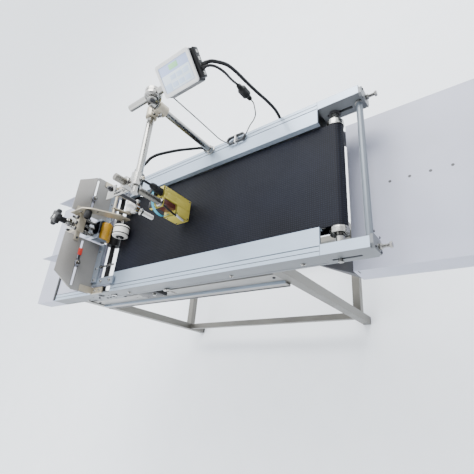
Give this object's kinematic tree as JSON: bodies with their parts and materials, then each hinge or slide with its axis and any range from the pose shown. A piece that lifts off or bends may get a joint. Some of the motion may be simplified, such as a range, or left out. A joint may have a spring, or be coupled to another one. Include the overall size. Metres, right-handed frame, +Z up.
{
  "type": "date code inkjet printer",
  "caption": "Floor-standing bag feeder and belt conveyor with an on-line ink jet date coder: print head and touch screen on rods over the belt, output tray beyond it.",
  "frame": {"origin": "middle of the part's bounding box in X and Y, on the floor under the feet", "axes": "+X along the belt from the feeder to the output tray, +Y from the operator's side to the screen's side, +Z up"},
  "size_m": [1.493, 0.43, 1.0725],
  "materials": {
    "anodised": "light blue-grey anodised extrusion",
    "stainless": "brushed stainless, warm grey",
    "sheet": "light lilac-grey powder coat",
    "grey_sheet": "mid-grey satin powder coat",
    "dark_sheet": "dark grey satin powder coat",
    "bright_steel": "bright turned and ground steel",
    "zinc": "yellowish zinc-plated steel",
    "belt_cloth": "dark navy woven-faced belt",
    "black_rubber": "black rubber",
    "black_plastic": "black moulded plastic",
    "white_plastic": "silver-white moulded plastic",
    "white_rubber": "white elastomer",
    "gold_rubber": "amber-gold polyurethane",
    "khaki": "khaki-gold anodised case",
    "ink": "red-brown cartridge plastic",
    "cable_grey": "grey PVC"
  },
  "bodies": {
    "frame": {"front_rail": "anodised", "rear_rail": "anodised", "cover_strips": "anodised", "tail_brackets": "anodised", "tail_crossbar": "bright_steel", "front_tension_bolt": "bright_steel", "rear_tension_bolt": "bright_steel", "conveyor_belt": "belt_cloth", "belt_bed": "stainless", "roller_bearings": "dark_sheet", "timing_belt": "black_rubber", "drive_motor": "black_plastic", "tail_axle": "bright_steel", "left_legs": "stainless", "right_legs": "stainless", "low_tie_bars": "stainless", "lower_rails": "grey_sheet", "output_tray": "sheet", "tray_brackets": "dark_sheet", "input_table": "sheet", "feed_deck": "sheet", "gate_brackets": "zinc", "front_baffle": "grey_sheet", "rear_baffle": "grey_sheet", "gate_bar": "anodised", "separator_block": "zinc", "arm_plate": "zinc", "post": "bright_steel", "post_clamp": "zinc", "swivel_clamp": "bright_steel", "display_arm": "bright_steel", "head_arm": "bright_steel", "frame_bolts": "bright_steel", "display_cable": "black_plastic", "power_lead": "black_plastic", "inline_connector": "black_plastic", "thin_lead": "cable_grey", "lead_coil": "cable_grey"},
    "tail_roller": {"tail_roller": "bright_steel"},
    "drive_roller": {"drive_roller": "bright_steel"},
    "motor_pulley": {"motor_pulley": "zinc"},
    "return_roller": {"return_roller": "bright_steel"},
    "feed_roller": {"feed_roller": "black_rubber"},
    "separator_carriage": {"separator_carriage": "anodised"},
    "separator_roller": {"separator_roller": "gold_rubber"},
    "star_knob": {"star_knob": "black_plastic"},
    "front_side_guide": {"front_side_guide": "sheet"},
    "rear_side_guide": {"rear_side_guide": "sheet"},
    "front_press_roller": {"front_press_roller": "white_rubber"},
    "rear_press_roller": {"rear_press_roller": "white_rubber"},
    "lock_knob": {"lock_knob": "black_plastic"},
    "cross_clamp": {"cross_clamp": "bright_steel", "sensor_arm": "bright_steel", "head_cable": "black_plastic"},
    "print_head": {"head_rod": "bright_steel", "head_case": "khaki", "head_pigtail": "black_plastic"},
    "ink_cartridge": {"ink_cartridge": "ink"},
    "photo_sensor": {"photo_sensor": "white_plastic"},
    "display": {"display_housing": "white_plastic"}
  },
  "joints": [
    {"name": "drive_roller_spin", "type": "hinge", "parent": "frame", "child": "drive_roller", "pos_m": [-0.3105, -0.00081, 0.7415], "axis": [0, 1, 0], "continuous": true},
    {"name": "tail_roller_spin", "type": "hinge", "parent": "frame", "child": "tail_roller", "pos_m": [0.4385, -0.00081, 0.7415], "axis": [0, 1, 0], "continuous": true},
    {"name": "motor_pulley_spin", "type": "hinge", "parent": "frame", "child": "motor_pulley", "pos_m": [-0.2315, 0.14919, 0.668], "axis": [0, 1, 0], "continuous": true},
    {"name": "return_roller_spin", "type": "hinge", "parent": "frame", "child": "return_roller", "pos_m": [0.0485, -0.00081, 0.7107], "axis": [0, 1, 0], "continuous": true},
    {"name": "front_press_roller_spin", "type": "hinge", "parent": "frame", "child": "front_press_roller", "pos_m": [-0.2835, -0.00281, 0.7865], "axis": [0, 1, 0], "continuous": true},
    {"name": "rear_press_roller_spin", "type": "hinge", "parent": "frame", "child": "rear_press_roller", "pos_m": [-0.2835, 0.0952, 0.7735], "axis": [0, 1, 0], "continuous": true},
    {"name": "feed_roller_spin", "type": "hinge", "parent": "frame", "child": "feed_roller", "pos_m": [-0.3635, -0.00081, 0.753], "axis": [0, 1, 0], "continuous": true},
    {"name": "separator_height", "type": "slide", "parent": "frame", "child": "separator_carriage", "axis": [0, 0, 1], "range_m": [-0.001, 0.01]},
    {"name": "separator_roller_spin", "type": "hinge", "parent": "separator_carriage", "child": "separator_roller", "pos_m": [-0.3635, 0.00619, 0.796], "axis": [0, 1, 0], "continuous": true},
    {"name": "separator_knob_turn", "type": "hinge", "parent": "frame", "child": "star_knob", "pos_m": [-0.4115, 0.0112, 0.94], "axis": [0, 0, 1], "range_deg": [-905, 95]},
    {"name": "front_guide_slide", "type": "slide", "parent": "frame", "child": "front_side_guide", "axis": [0, 1, 0], "range_m": [-0.055, 0.045]},
    {"name": "rear_guide_slide", "type": "slide", "parent": "frame", "child": "rear_side_guide", "axis": [0, 1, 0], "range_m": [-0.04, 0.055]},
    {"name": "lock_knob_turn", "type": "hinge", "parent": "frame", "child": "lock_knob", "pos_m": [-0.3335, 0.0412, 0.885], "axis": [0, 1, 0], "range_deg": [0, 360]},
    {"name": "head_cross_slide", "type": "slide", "parent": "frame", "child": "cross_clamp", "axis": [0, 1, 0], "range_m": [0, 0.06]},
    {"name": "head_height_slide", "type": "slide", "parent": "cross_clamp", "child": "print_head", "axis": [0, 0, 1], "range_m": [0, 0.04]},
    {"name": "cartridge_slide", "type": "slide", "parent": "print_head", "child": "ink_cartridge", "axis": [-1, 0, 0], "range_m": [0, 0.044]},
    {"name": "sensor_height_slide", "type": "slide", "parent": "cross_clamp", "child": "photo_sensor", "axis": [0, 0, 1], "range_m": [-0.02, 0.01]},
    {"name": "screen_tilt", "type": "hinge", "parent": "frame", "child": "display", "pos_m": [0.2055, 0.1892, 1.018], "axis": [1, 0, 0], "range_deg": [-35, 30]}
  ],
  "couplings": [
    {"joint": "tail_roller_spin", "follows": "drive_roller_spin", "ratio": 1},
    {"joint": "motor_pulley_spin", "follows": "drive_roller_spin", "ratio": 1.5},
    {"joint": "return_roller_spin", "follows": "drive_roller_spin", "ratio": -1.5417},
    {"joint": "front_press_roller_spin", "follows": "drive_roller_spin", "ratio": -0.71154},
    {"joint": "separator_knob_turn", "follows": "separator_height", "rad_per_m": -1570.8}
  ]
}
